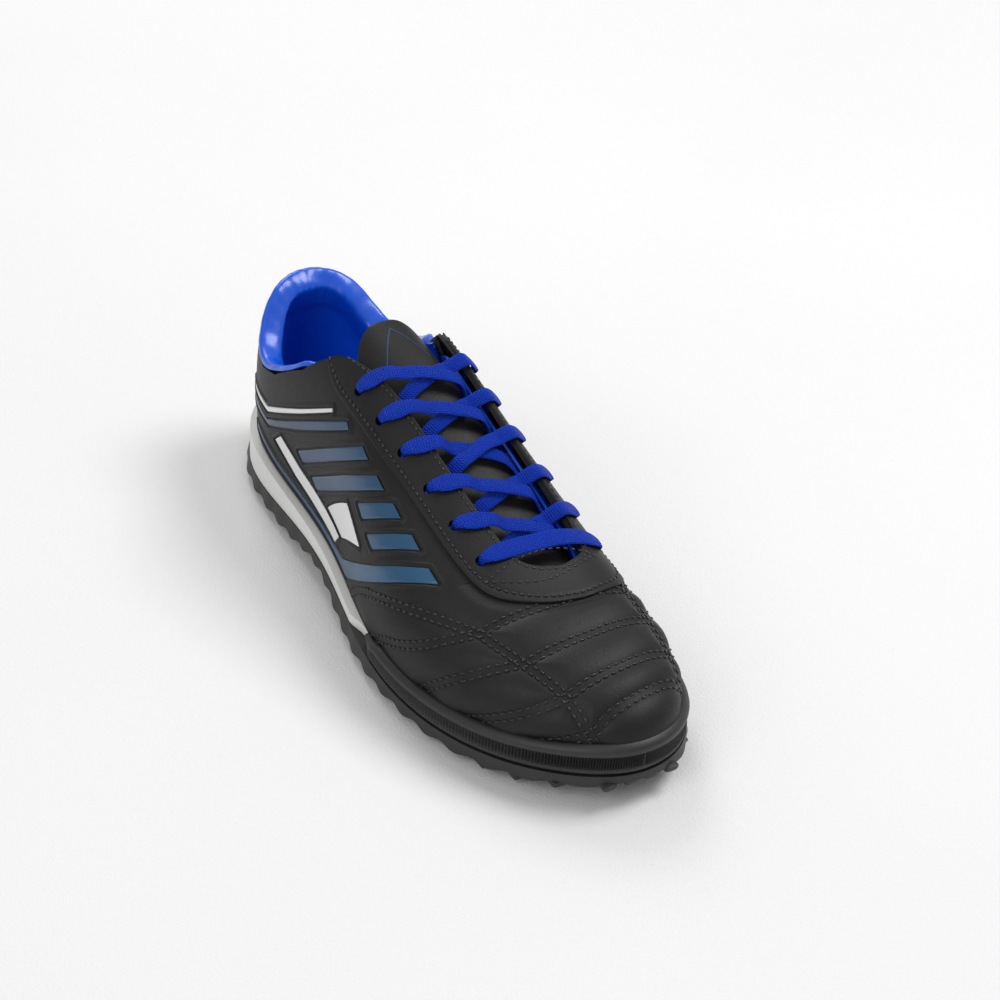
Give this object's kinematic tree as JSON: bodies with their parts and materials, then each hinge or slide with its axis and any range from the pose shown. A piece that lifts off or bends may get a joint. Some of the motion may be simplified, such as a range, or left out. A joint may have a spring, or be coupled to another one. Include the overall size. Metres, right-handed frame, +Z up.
{
  "type": "football turf shoe",
  "caption": "Low right football turf shoe: studded rubber outsole, foam midsole, quilted black upper, padded blue collar and flat lace.",
  "frame": {"origin": "middle of the outsole's outline, on the ground plane the studs stand on", "axes": "+X heel to toe, +Y to the inner (medial) side, +Z up"},
  "size_m": [0.294, 0.1068, 0.1033],
  "materials": {
    "outsole_rubber": "matt",
    "midsole_foam": "matt",
    "black_upper": "fine grained",
    "blue_lining": "glossy coated",
    "padding": "open foam",
    "stiffener": "matt",
    "board": "matt",
    "blue_print": "satin",
    "white_print": "satin",
    "lace": "braided"
  },
  "bodies": {
    "shoe": {"outsole": "outsole_rubber", "toe_bumper": "outsole_rubber", "midsole": "midsole_foam", "insole_board": "board", "vamp": "black_upper", "quarter_lateral": "black_upper", "quarter_medial": "black_upper", "eyestay": "black_upper", "heel_overlay": "black_upper", "collar_lining": "blue_lining", "collar_foam": "padding", "heel_counter": "stiffener", "toe_puff": "stiffener", "vamp_foam": "padding", "vamp_lining": "blue_lining", "quarter_lining_lateral": "blue_lining", "quarter_lining_medial": "blue_lining", "lace": "lace", "stripe_1_lateral": "blue_print", "stripe_2_lateral": "blue_print", "stripe_3_lateral": "blue_print", "stripe_4_lateral": "blue_print", "stripe_5_lateral": "blue_print", "stripe_6_lateral": "blue_print", "white_line_lateral": "white_print", "white_bar_lateral": "white_print", "white_badge_lateral": "white_print", "stripe_1_medial": "blue_print", "stripe_2_medial": "blue_print", "stripe_3_medial": "blue_print", "stripe_4_medial": "blue_print", "stripe_5_medial": "blue_print", "stripe_6_medial": "blue_print", "white_line_medial": "white_print", "white_bar_medial": "white_print", "white_badge_medial": "white_print"},
    "tongue": {"tongue_outer": "black_upper", "tongue_foam": "padding", "tongue_lining": "blue_lining"},
    "sockliner": {"sockliner": "blue_lining"}
  },
  "joints": [
    {"name": "tongue_hinge", "type": "hinge", "parent": "shoe", "child": "tongue", "pos_m": [0.06878, 0, 0.04894], "axis": [0, -1, 0], "range_deg": [0, 10]},
    {"name": "sockliner_lift", "type": "hinge", "parent": "shoe", "child": "sockliner", "pos_m": [0.1344, 0, 0.02701], "axis": [0, 1, 0], "range_deg": [0, 5]}
  ]
}
